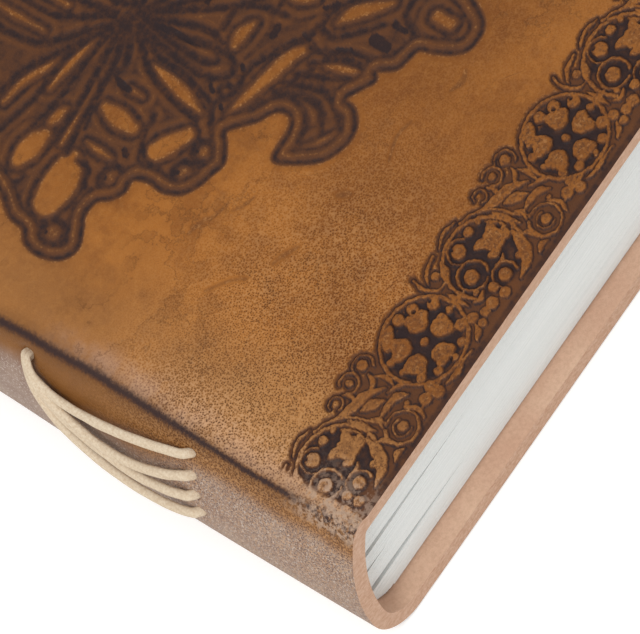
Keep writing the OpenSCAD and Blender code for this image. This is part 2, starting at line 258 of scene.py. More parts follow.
# Painted reflection: the lower spine is greyed where it would reflect the bright room
reflection_mottle = add(tree, "MapRange", [mottle, 0.3, 0.75], **smoothly)
painted_reflection_grey = add(tree, "Mix", {0: reflection_mottle, 6: linear("#866a5a"), 7: linear("#a08a7b")}, 2, **colours)
past_share = add(tree, "MapRange", [past_ochre, 5.0, 9.5], **smoothly)
spine_tan = add(tree, "Mix", {0: past_share, 6: ochre, 7: painted_reflection_grey}, 2, **colours)
tan = add(tree, "Mix", {0: spine_share, 6: tan, 7: spine_tan}, 2, **colours)

# Pores about a third of a millimetre apart, with painted highlights on the pebbles between them, a painted
# glint near the crease and a painted frosty sheen on the lower spine
pore_share = add(tree, "MapRange", [from_end, 62.0, 32.0, 0.06, 1.0], **smoothly)
near_fold = add(tree, "MapRange", [run_value, -70.0, -20.0, 0.18, 1.0], **smoothly)
open_parts = add(tree, "TexNoise", {"Vector": place, "Scale": 0.06, "Detail": 3.0})
open_parts = add(tree, "MapRange", [open_parts, 0.38, 0.62, 0.88, 1.10], **smoothly)
untooled = add(tree, "MapRange", [dye_value, 0.01, 0.05, 1.0, 0.12], **smoothly)
for share in (near_fold, open_parts, untooled):
    pore_share = add(tree, "Math", [pore_share, share], **times)
from_pore = add(tree, "TexVoronoi", {"Vector": place, "Scale": 2.95, "Randomness": 0.9}, "Distance")
pore = add(tree, "MapRange", [from_pore, 0.12, 0.43, pore_share, 0.0], **smoothly)
pebble = add(tree, "MapRange", [from_pore, 0.40, 0.80, 0.0, pore_share], **smoothly)
dark_pore = add(tree, "Math", [pore, 0.84], **times)
# Painted highlights: the pebbles between the pores are made pale
pebble_highlight = add(tree, "Math", [pebble, 0.34], **times)
# Painted glint: pale specks on the pebbles beside the crease near each end stand in for highlights
glint = add(tree, "MapRange", [from_pore, 0.40, 0.80, 0.0, 0.42], **smoothly)
glint = add(tree, "MapRange", [from_line, -12.0, -1.5, 0.0, glint], **smoothly)
glint = add(tree, "MapRange", [from_end, 60.0, 34.0, 0.0, glint], **smoothly)
glint = add(tree, "Math", [glint, on_cover], **times)
# Painted sheen: pale frosty specks on the lower spine stand in for its reflection of the light
painted_frosty_sheen = add(tree, "TexNoise", {"Vector": place, "Scale": 2.6, "Detail": 3.0})
painted_frosty_sheen = add(tree, "MapRange", [painted_frosty_sheen, 0.52, 0.66, 0.0, 0.6], **smoothly)
painted_frosty_sheen = add(tree, "MapRange", [past_ochre, 6.0, 10.5, 0.0, painted_frosty_sheen], **smoothly)

# Wear: the crease is rubbed dark and smudged, and the corner at each end is scuffed bare in specks
soot = add(tree, "MapRange", [off_line, 0.5, 3.4, 0.40, 0.0], **smoothly)
unbroken = add(tree, "MapRange", [from_end, 6.0, 18.0], **smoothly)
kept = add(tree, "TexNoise", {"Vector": place, "Scale": 0.9, "Detail": 4.0, "Roughness": 0.7})
kept = add(tree, "MapRange", [kept, 0.47, 0.56], **smoothly)
kept = add(tree, "Math", [unbroken, kept], operation="MAXIMUM")
reach_out = off_line
for start, end, at_start, at_end in ((4.0, 16.0, 0.35, 1.3), (24.0, 44.0, 1.0, 0.62)):
    narrowing = add(tree, "MapRange", [from_end, start, end, at_start, at_end], **smoothly)
    reach_out = add(tree, "Math", [reach_out, narrowing], **times)
burnish = add(tree, "MapRange", [reach_out, 0.12, 1.15, 0.93, 0.0], **smoothly)
burnish = add(tree, "Math", [burnish, kept], **times)
rubbed = add(tree, "TexNoise", {"Vector": place, "Scale": 0.85, "Detail": 4.0, "Roughness": 0.7})
rubbed = add(tree, "MapRange", [rubbed, 0.44, 0.58, 0.05, 0.95], **smoothly)
rubbed = add(tree, "MapRange", [from_end, 6.0, 17.0, rubbed, 0.0], **smoothly)
rubbed = add(tree, "MapRange", [run_value, -9.0, -1.0, 0.0, rubbed], **smoothly)
rubbed = add(tree, "MapRange", [run_value, 6.0, 3.0, 0.0, rubbed], **smoothly)
for share, colour in ((pebble_highlight, "#d2a06c"), (dark_pore, "#42230f"), (glint, "#dbb08c"),
                      (painted_frosty_sheen, "#cbbcb0"), (soot, "#52331c"), (rubbed, "#b5977c"), (burnish, "#2a1c1e")):
    tan = add(tree, "Mix", {0: share, 6: tan, 7: linear(colour)}, 2, **colours)

# Dye in the tooling: brown where it is thin, near black where it is thick, worn off the raised parts
brown = add(tree, "Mix", {0: mottle, 6: linear("#44291a"), 7: linear("#6b4021")}, 2, **colours)
black = add(tree, "Mix", {0: mottle, 6: linear("#1b1217"), 7: linear("#35231f")}, 2, **colours)
stain = add(tree, "TexNoise", {"Vector": place, "Scale": 0.7, "Detail": 5.0, "Roughness": 0.65})
stain = add(tree, "Math", [stain, 0.9, 0.55], **times_plus)
stain = add(tree, "Math", [dye_value, stain], **times)
thin = add(tree, "MapRange", [stain, 0.0, 0.5], **smoothly)
thick = add(tree, "MapRange", [stain, 0.5, 1.0], **smoothly)
specks = add(tree, "TexNoise", {"Vector": place, "Scale": 1.9, "Detail": 4.0, "Roughness": 0.7})
specks = add(tree, "MapRange", [specks, 0.50, 0.60, 0.0, 0.75], **smoothly)
specks = add(tree, "MapRange", [dye_value, 0.01, 0.05, 0.0, specks], **smoothly)
specks = add(tree, "MapRange", [dye_value, 0.45, 0.30, 0.0, specks], **smoothly)
specks = add(tree, "MapRange", [from_end, 24.0, 20.0, 0.0, specks], **smoothly)
for share, colour in ((thin, brown), (thick, black), (specks, brown)):
    tan = add(tree, "Mix", {0: share, 6: tan, 7: colour}, 2, **colours)
worn = add(tree, "TexNoise", {"Vector": place, "Scale": 1.7, "Detail": 5.0, "Roughness": 0.7})
worn = add(tree, "MapRange", [worn, 0.50, 0.64, 0.0, 0.55], **smoothly)
worn = add(tree, "MapRange", [dye_value, 0.06, 0.20, 0.0, worn], **smoothly)
worn = add(tree, "MapRange", [dye_value, 0.50, 0.28, 0.0, worn], **smoothly)
scuffed = add(tree, "Math", [rubbed, 0.62], **times)
for share, colour in ((worn, "#b17c48"), (scuffed, "#ad917d")):
    tan = add(tree, "Mix", {0: share, 6: tan, 7: linear(colour)}, 2, **colours)
tree.links.new(tan, shader.inputs["Base Color"])
tree.links.new(add(tree, "MapRange", [mottle, 0.3, 0.8, 0.48, 0.66], **smoothly), shader.inputs["Roughness"])
shader.inputs["Specular IOR Level"].default_value = 0.18
pebbled = {"Vector": place, "Scale": 1.9, "Randomness": 1.0}
relief = add(tree, "TexVoronoi", pebbled, "Distance", feature="DISTANCE_TO_EDGE")
relief = add(tree, "MapRange", [relief, 0.0, 0.25, 0.0, 0.30], **smoothly)
relief = add(tree, "Math", [pore, -0.75, relief], **times_plus)
gritty = add(tree, "TexNoise", {"Vector": place, "Scale": 3.2, "Detail": 3.0})
relief = add(tree, "Math", [gritty, 0.35, relief], **times_plus)
bump = add(tree, "Bump", {"Height": relief, "Distance": 0.00009, "Strength": 0.8})
tree.links.new(bump, shader.inputs["Normal"])

# Flesh side of the hide: the same leather before any finish, fibrous, matt and paler
flesh, tree, shader, place = new_material("hide_flesh_side")
fibre = add(tree, "TexNoise", {"Vector": place, "Scale": 1.6, "Detail": 6.0, "Roughness": 0.7})
patch = add(tree, "TexNoise", {"Vector": place, "Scale": 0.06, "Detail": 4.0})
patch = add(tree, "MapRange", [patch, 0.3, 0.7], **smoothly)
napped = add(tree, "MapRange", [fibre, 0.35, 0.7, 0.0, 0.4], **smoothly)
suede = add(tree, "Mix", {0: patch, 6: linear("#cba38a"), 7: linear("#d8b59b")}, 2, **colours)
suede = add(tree, "Mix", {0: napped, 6: suede, 7: linear("#b48d74")}, 2, **colours)
tree.links.new(suede, shader.inputs["Base Color"])
shader.inputs["Roughness"].default_value = 0.92
shader.inputs["Specular IOR Level"].default_value = 0.15
bump = add(tree, "Bump", {"Height": fibre, "Distance": 0.00012, "Strength": 0.7})
tree.links.new(bump, shader.inputs["Normal"])

# Cut edge of the hide: raw fibre, where the knife left pale layers
raw_edge, tree, shader, place = new_material("hide_cut_edge")
layers = add(tree, "VectorMath", [place, (1.3, 1.3, 2.8)], **times)
layers = add(tree, "TexNoise", {"Vector": layers, "Scale": 1.0, "Detail": 5.0, "Roughness": 0.65})
layered = add(tree, "MapRange", [layers, 0.3, 0.7], **smoothly)
flecks = add(tree, "TexNoise", {"Vector": place, "Scale": 2.2, "Detail": 4.0})
flecks = add(tree, "MapRange", [flecks, 0.45, 0.75, 0.0, 0.35], **smoothly)
edge = add(tree, "Mix", {0: layered, 6: linear("#be957a"), 7: linear("#d3b098")}, 2, **colours)
edge = add(tree, "Mix", {0: flecks, 6: edge, 7: linear("#ab8165")}, 2, **colours)
tree.links.new(edge, shader.inputs["Base Color"])
shader.inputs["Roughness"].default_value = 0.85
shader.inputs["Specular IOR Level"].default_value = 0.2
bump = add(tree, "Bump", {"Height": layers, "Distance": 0.0001, "Strength": 0.6})
tree.links.new(bump, shader.inputs["Normal"])
hide_materials = (grain, flesh, raw_edge)

# The cover's tooled parts are cut out of this piece: a border at each end and a panel for the centrepiece
border_top = 20.0
panel_x, panel_y = (7.0, 143.3), (30.0, 180.0)
# Holes of the sewing, by distance along the hide from the fold and from the end of the spine
hole_runs, fan_in, hole_pull, hole_spread = (5.6, 10.4, 15.2, 20.0), 34.0, 0.9, 0.9
gather_run, gather_in, gather_pull, gather_spread = 5.9, 69.0, 1.5, 2.6
# The hide is parted in the bend, 5 mm above its foot
seam_run = fold_len + spine_len + bend_len - 5.0


def lines(start, *stops):
    """Grid lines from a start through stops, each a place and the largest step on the way to it."""
    places = [start]
    for end, step in stops:
        count = max(1, math.ceil((end - start) / step - 1e-9))
        places += [start + (end - start) * k / count for k in range(1, count + 1)]
        start = end
    return np.array(places)


def both_ends(half):
    """Grid lines from tail to middle, mirrored to the head."""
    return np.concatenate([half, cover_h - half[-2::-1]])


def pulled_in(run, y):
    """Depth to which the cords have drawn the hide in round its holes."""
    in_y = np.minimum(y, cover_h - y)
    depth = gather_pull * np.exp(-((run - gather_run) ** 2 + (in_y - gather_in) ** 2) / gather_spread)
    for hole in hole_runs:
        from_hole = (run - hole) ** 2 + (in_y - fan_in) ** 2
        depth = np.maximum(depth, hole_pull * np.exp(-from_hole / hole_spread))
    return depth


# The grid is finest where the hide bends and where the cords pull it in
runs = lines(-cover_w, (-panel_x[1], 2.5), (-panel_x[0], 4.0), (-2.0, 1.0), (24.0, 0.5), (seam_run, 1.0))
ys = both_ends(lines(0.0, (border_top, 2.0), (panel_y[0], 2.0), (31.0, 0.5), (37.0, 0.5), (66.0, 3.0),
                     (72.0, 0.5), (cover_h / 2, 3.0)))
run_grid, y_grid = np.meshgrid(runs, ys, indexing="ij")
middle_run, middle_y = (runs[1:] + runs[:-1]) / 2, (ys[1:] + ys[:-1]) / 2
keep = np.ones((len(runs) - 1, len(ys) - 1), bool)
keep &= ~((middle_run < 0)[:, None] & ((middle_y < border_top) | (middle_y > cover_h - border_top))[None])
on_panel = ((middle_run > -panel_x[1]) & (middle_run < -panel_x[0]))[:, None]
keep &= ~(on_panel & ((middle_y > panel_y[0]) & (middle_y < panel_y[1]))[None])
outer = hide_point(run_grid, y_grid, pulled_in(run_grid, y_grid) - unevenness(run_grid, y_grid))
inner = hide_point(run_grid, y_grid, hide_t)
front_hide, used = slab("front_hide", keep, outer, inner, hide_materials)
set_values(front_hide, "run", np.concatenate([run_grid.ravel(), run_grid.ravel()])[used])
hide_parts("front_cover", "spine_leather")


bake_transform(front_hide)

# The borders along the tail and head edges of the front cover: a running scroll of buds, leaves and
# five-petalled flowers in rings, pressed into the damp hide so that the ground sinks and the motifs
# stand, then rubbed with dark dye that stays in the ground.
# The drawing repeats along the edge. It is measured from the dark crease, crease_x short of the cover.
repeat, crease_x = 39.5, 1.7


def curve(points, steps=5):
    """Points of a smooth curve through the given ones, with so many steps from each to the next."""
    p = np.array(points, float)
    p = np.concatenate([2 * p[:1] - p[1:2], p, 2 * p[-1:] - p[-2:-1]])
    t = (np.arange(steps) / steps)[:, None]
    parts = []
    for a, b, c, d in zip(p, p[1:], p[2:], p[3:]):
        curved = (2 * a - 5 * b + 4 * c - d) * t * t + (3 * b - a - 3 * c + d) * t ** 3
        parts.append(0.5 * (2 * b + (c - a) * t + curved))
    return np.concatenate(parts + [p[-2:-1]])


def distance_to(where, shapes, shift=(0.0, 0.0), reach=2.5):
    """Distance from each place to the nearest of the shapes, negative inside them. A shape is a chain of
    rows of x, y and half width."""
    nearest = np.full(len(where), reach)
    for shape in shapes:
        shape = shape + np.array([shift[0], shift[1], 0])
        room = reach + shape[:, 2].max()
        low, high = shape[:, :2].min(axis=0) - room, shape[:, :2].max(axis=0) + room
        close = np.nonzero(((where > low) & (where < high)).all(axis=1))[0]
        if not len(close):
            continue
        spot, best = where[close], nearest[close]
        for a, b in zip(shape[:-1], shape[1:]):
            along = b[:2] - a[:2]
            t = np.clip(((spot - a[:2]) @ along) / max(along @ along, 1e-9), 0, 1)
            gap = np.hypot(*(spot - a[:2] - t[:, None] * along).T) - (a[2] + t * (b[2] - a[2]))
            best = np.minimum(best, gap)
        nearest[close] = best
    return nearest


def arc(x, y, r, start, end, half, taper=0.0):
    """Part of a ring between two angles in degrees, narrowing towards its end."""
    a = np.radians(np.linspace(start, end, max(5, int(abs(end - start) / 14))))
    t = np.linspace(0, 1, len(a))
    return np.stack([x + r * np.cos(a), y + r * np.sin(a), half * (1 - taper * t)], axis=1)


def bud(x, y, r):
    return np.array([[x, y, r], [x + 0.01, y, r]])


def leaf(*points):
    return curve(points, 4)


def heart(x, y, away):
    """A round petal of two lobes, pointing away from the middle of its flower."""
    d = np.array([x - away[0], y - away[1]])
    d /= np.hypot(*d)
    side = np.array([-d[1], d[0]])
    shapes = [bud(x, y, 1.8)]
    for sign in (-1, 1):
        lobe = np.array([x, y]) + 0.75 * d + sign * 1.05 * side
        foot = np.array([x, y]) - 1.1 * d
        shapes.append(np.array([[*lobe, 1.05], [*foot, 0.7]]))
    return shapes


stem = 0.36
flower_middle = (31.2, 9.8)
motifs = [
    arc(7.7, 9.3, 7.0, -62, 205, stem), arc(4.3, 9.2, 2.6, -40, 290, 0.30, 0.2), bud(4.0, 9.2, 1.35),
    bud(11.0, 9.8, 2.1), leaf((10.6, 9.4, 1.1), (12.0, 11.2, 1.0), (13.0, 12.2, 0.5)),
    leaf((10.6, 9.8, 1.0), (9.2, 11.2, 0.95), (8.2, 11.6, 0.4)),
    leaf((11.0, 9.4, 1.0), (12.8, 8.6, 0.8), (13.4, 9.6, 0.4)),
    leaf((10.8, 9.0, 0.9), (9.2, 8.2, 0.8), (8.4, 8.8, 0.4)), bud(6.4, 13.7, 1.35),
    arc(6.5, 13.5, 2.2, 20, 235, 0.26, 0.4), bud(9.9, 14.3, 0.9), bud(12.2, 13.9, 0.6), bud(7.1, 4.6, 1.2),
    arc(7.1, 4.5, 2.2, -30, 200, 0.28, 0.4),
    leaf((8.0, 1.9, 0.3), (10.6, 2.7, 0.9), (12.6, 4.8, 1.15), (13.7, 8.0, 0.35)), bud(10.9, 4.4, 0.7),
    bud(2.1, 3.6, 1.15), bud(4.4, 5.0, 0.95), bud(4.6, 2.7, 1.0),
    leaf((1.2, 12.2, 0.3), (2.4, 13.6, 0.8), (3.6, 15.2, 0.3)),
    leaf((10.4, 16.4, 0.28), (13.2, 15.2, 0.28), (15.4, 12.4, 0.3), (16.2, 9.4, 0.28), (17.4, 6.8, 0.2)),
    arc(19.6, 16.4, 1.7, -150, 130, 0.30, 0.3), bud(19.6, 16.4, 0.7),
    arc(15.8, 16.2, 1.2, -120, 160, 0.24, 0.3),
    leaf((13.2, 14.8, 0.2), (16.6, 13.4, 0.95), (19.4, 12.7, 0.85), (22.0, 10.6, 0.2)),
    leaf((14.6, 12.6, 0.25), (14.9, 10.2, 0.75), (15.4, 7.6, 0.2)),
    leaf((13.9, 6.6, 0.2), (15.0, 5.0, 0.6), (15.2, 2.8, 0.2)),
    leaf((16.9, 11.8, 0.25), (18.6, 10.8, 1.0), (20.2, 9.4, 0.25)),
    leaf((19.8, 12.0, 0.2), (21.8, 13.2, 0.5), (22.4, 14.6, 0.2)),
    leaf((17.6, 8.2, 0.25), (19.6, 8.4, 0.6), (21.6, 8.0, 0.75), (22.8, 6.6, 0.2)),
    arc(18.0, 4.1, 2.8, -230, 110, 0.32, 0.3), arc(18.0, 4.1, 1.5, 60, 300, 0.22, 0.3), bud(18.2, 4.1, 1.0),
    leaf((20.9, 5.8, 0.3), (21.7, 3.8, 0.5), (21.0, 1.9, 0.2)),
    leaf((17.2, 13.0, 0.2), (18.0, 14.6, 0.4), (17.6, 16.2, 0.2)), bud(23.6, 3.6, 1.15),
    bud(25.6, 4.3, 1.05), bud(25.5, 2.4, 1.1), leaf((22.2, 3.2, 0.2), (24.6, 3.4, 0.5), (27.2, 3.3, 0.3)),
    bud(23.0, 16.3, 1.0), arc(23.0, 16.2, 1.8, -60, 190, 0.24, 0.4),
    leaf((22.7, 13.4, 0.2), (23.3, 11.6, 0.5), (22.9, 9.6, 0.2)), arc(*flower_middle, 7.35, 0, 360, stem),
    bud(31.1, 9.6, 0.75), leaf((27.0, 14.2, 0.5), (28.6, 15.4, 1.15), (30.2, 16.2, 0.4)),
    bud(31.8, 15.6, 1.05), bud(34.4, 14.6, 1.1), bud(36.8, 12.2, 1.15), bud(37.3, 9.2, 0.7),
    bud(36.2, 5.9, 1.1), bud(34.0, 4.1, 0.9), bud(31.4, 3.6, 0.7), bud(28.3, 4.6, 0.9),
    bud(26.0, 6.4, 0.85), bud(25.3, 9.8, 0.6), bud(25.7, 12.4, 0.8),
    leaf((39.2, 11.2, 0.15), (39.2, 8.9, 0.60), (39.2, 6.6, 0.15)),
    leaf((37.4, 8.9, 0.15), (39.2, 8.9, 0.60), (41.0, 8.9, 0.15)),
    leaf((38.4, 17.6, 0.2), (37.9, 15.4, 0.36), (38.9, 12.9, 0.3), (40.6, 12.4, 0.2)),
    bud(40.7, 14.6, 0.75), leaf((38.9, 14.9, 0.2), (40.6, 16.4, 0.4), (43.2, 17.0, 0.3)),
    bud(38.1, 4.9, 1.0), bud(39.9, 3.6, 0.95), bud(38.2, 2.9, 0.8),
    leaf((35.4, 2.0, 0.3), (36.6, 2.7, 0.6), (37.4, 3.8, 0.2)),
    leaf((27.2, 2.2, 0.2), (29.4, 1.7, 0.5), (31.8, 1.9, 0.3), (33.8, 1.8, 0.2)),
    leaf((12.9, 1.5, 0.2), (14.2, 2.2, 0.55), (15.4, 1.6, 0.2)),
    leaf((5.2, 16.9, 0.2), (7.6, 17.8, 0.4), (10.2, 17.3, 0.2)),
    leaf((24.6, 7.6, 0.2), (23.6, 8.6, 0.5), (21.4, 9.9, 0.2)),
    leaf((16.6, 9.4, 0.2), (17.2, 8.2, 0.5), (16.4, 6.9, 0.2)),
    leaf((12.9, 12.9, 0.2), (13.6, 11.0, 0.35), (13.9, 9.4, 0.2)), bud(21.5, 5.9, 0.5), bud(14.3, 8.2, 0.4),
    bud(2.2, 7.0, 0.6), leaf((0.6, 6.4, 0.2), (1.6, 5.6, 0.5), (3.0, 6.2, 0.2)),
    leaf((7.6, 6.9, 0.2), (8.8, 6.4, 0.45), (9.8, 6.9, 0.2)),
]
# Small cuts into the motifs
notches = [bud(10.6, 12.5, 0.30), bud(13.3, 10.7, 0.25), bud(8.7, 9.8, 0.2), bud(6.0, 14.8, 0.25),
           bud(36.9, 12.9, 0.25)]
for petal in ((28.2, 12.3), (33.0, 12.6), (34.4, 8.7), (31.0, 5.9), (27.4, 8.5)):
    motifs += heart(*petal, flower_middle)
    outward = np.array(petal) - flower_middle
    outward /= np.hypot(*outward)
    notches.append(bud(*(np.array(petal) + 1.95 * outward), 0.30))
# The ground inside the rings is darkest: the middle, the radius and the strength of each
dark_discs = [(7.7, 9.3, 6.4, 0.75), (*flower_middle, 6.6, 1.0)]
# Up to scroll_top the whole ground is sunk, and above it only a rim round each motif. A line is pressed
# along the very edge.
scroll_top, edge_line, ground_depth, crown_rise = 15.2, 1.1, 0.40, 0.06


def border_field(x, y):
    """Depth and dye of the border at places from the fold and from the edge."""
    by_hand_x = 0.07 * np.sin(2.3 * x + 1.7 * y) + 0.04 * np.sin(4.9 * y - 3.3 * x)
    by_hand_x += 0.30 * np.sin(x / 11 + 1.0)
    by_hand_y = 0.07 * np.sin(2.6 * y - 1.9 * x + 2.0) + 0.04 * np.sin(5.3 * x + 2.9 * y)
    by_hand_y += 0.22 * np.sin(x / 14)
    where = np.stack([x + by_hand_x, y + by_hand_y], axis=1)
    gap = np.full(len(where), 2.5)
    dark = np.zeros(len(where))
    for turn in range(-1, 5):
        shift = turn * repeat - crease_x
        part = distance_to(where, motifs, (shift, 0))
        gap = np.minimum(gap, np.maximum(part, -distance_to(where, notches, (shift, 0))))
        for cx, cy, r, share in dark_discs:
            dark = np.maximum(dark, share * smooth(r + 0.6 - np.hypot(x - cx - shift, y - cy), 0.0, 1.4))
    gap += 0.035 * np.sin(6.1 * x + 1.3 * np.sin(3.1 * y)) * np.sin(5.3 * y + 1.1 * np.sin(2.7 * x))
    dark = np.maximum(dark, 0.55 * smooth(y, 1.4, 0.8))
    near_motif = smooth(gap, 0.70, 0.30) * smooth(y, 19.2, 18.4)
    ground = np.maximum(smooth(y, scroll_top, scroll_top - 1), near_motif)
    ground *= smooth(x, 0.0, 1.6) * smooth(cover_w - x, 0.6, 1.4)
    stand = smooth(-gap, -0.20, 0.26)
    depth = ground * ((ground_depth + 0.16 * dark) * (1 - stand) - crown_rise * smooth(-gap, 0.1, 0.7))
    depth = np.where(y < edge_line, np.maximum(depth, 0.30 * smooth(y, 0.0, 0.5)), depth)
    floor_dye = 0.48 + 0.50 * dark + 0.20 * np.exp(-(np.maximum(gap, 0) / 0.4) ** 2)
    top_dye = 0.03 + 0.05 * (1 - dark) + 0.16 * smooth(-gap, 0.28, 0.95)
    outline = np.exp(-((gap - 0.10) / 0.19) ** 2)
    dye = ground * np.maximum(floor_dye * (1 - stand) + top_dye * stand, 0.96 * outline)
    return depth, np.clip(dye, 0, 1)


def tooled_slab(name, x_lines, y_lines, field):
    """A part of the front cover cut from the hide, with its depth and dye given by a field."""
    x, y = np.meshgrid(x_lines, y_lines, indexing="ij")
    depth, dye = field(x.ravel(), y.ravel())
    top = hide_point(-x, y, depth.reshape(x.shape) - unevenness(-x, y)).reshape(-1, 3)
    corner_x, corner_y = x[[0, 0, -1, -1], [0, -1, -1, 0]], y[[0, 0, -1, -1], [0, -1, -1, 0]]
    index = np.arange(x.size).reshape(x.shape)
    faces = np.stack([index[:-1, :-1], index[:-1, 1:], index[1:, 1:], index[1:, :-1]], axis=-1)
    faces = faces.reshape(-1, 4).tolist()
    a, b, c, d = range(x.size, x.size + 4)
    walls = [[*index[0], b, a], [*index[:, -1], c, b], [*index[-1, ::-1], d, c], [*index[::-1, 0], a, d]]
    slots = [0] * len(faces) + [1] + [2] * len(walls)
    points = np.concatenate([top, hide_point(-corner_x, corner_y, hide_t)])
    piece = mesh_piece(name, points, faces + [[a, b, c, d]] + walls, hide_materials, slots, 75)
    set_values(piece, "dye", np.concatenate([dye, [0] * 4]))
    set_values(piece, "run", np.concatenate([-x.ravel(), -corner_x]))
    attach(piece, "front_cover")


border_columns, border_rows = np.linspace(0, cover_w, 741), np.linspace(0, border_top, 98)
tooled_slab("tail_border", border_columns, border_rows, border_field)
tooled_slab("head_border", border_columns, cover_h - border_rows[::-1],
            lambda x, y: border_field(x, cover_h - y))

# The centrepiece of the front cover: a lobed medallion of scrolling leaves round a double rim, tooled
# by hand into the same hide and stained brown, darkest in its cut lines.
middle_x = (cover_w - crease_x) / 2


def inside(where, line):
    """Which places lie inside a closed line."""
    odd = np.zeros(len(where), bool)
    for a, b in zip(line, np.roll(line, -1, axis=0)):
        crosses = (a[1] > where[:, 1]) != (b[1] > where[:, 1])
        rise = b[1] - a[1] if b[1] != a[1] else 1e-9
        at = a[0] + (where[:, 1] - a[1]) / rise * (b[0] - a[0])
        odd ^= crosses & (where[:, 0] < at)
    return odd


def from_middle(x, y):
    """A place measured from the crease and the tail edge, taken from the middle of the centrepiece."""
    return x - middle_x - crease_x, y - cover_h / 2


def row(*points):
    """A stroke on the quarter nearest the tail and the crease, by rows of x, y and half width."""
    return curve([(*from_middle(x, y), w) for x, y, w in points])


outline = [
    (-66.5, 9), (-67.85, 0), (-66.3, -6), (-62, -9.5), (-58.4, -12.5), (-59.3, -16.5), (-61.9, -20.5),
    (-62.6, -24), (-64.4, -26), (-64.9, -29.5), (-63.6, -33), (-60.9, -34.2), (-57.9, -32.8),
    (-55.9, -31.7), (-52.9, -32), (-51.4, -34), (-49.4, -35.2), (-46.9, -35.2), (-45.9, -38), (-46.1, -41),
    (-44.9, -44), (-42.4, -45.7), (-39.9, -46.4), (-37.4, -47), (-34.9, -45.5), (-32.9, -44),
    (-30.9, -45.5), (-28.9, -47.5), (-25.9, -49.5), (-25.4, -52), (-27.4, -53.5), (-30.9, -53.7),
    (-32.9, -54.5), (-31.4, -58), (-28.9, -61.5), (-24.9, -63.3), (-21.9, -63), (-19.6, -61),
    (-18.9, -58.5), (-16.4, -59.5), (-13.9, -61), (-12.4, -60.2), (-10.4, -63), (-7.9, -63.7),
    (-5.9, -64.5), (-4.9, -67.5), (-2.9, -71), (0, -72), (5, -71),
]
rim = curve([(x, y, 0.0) for x, y in outline], 6)
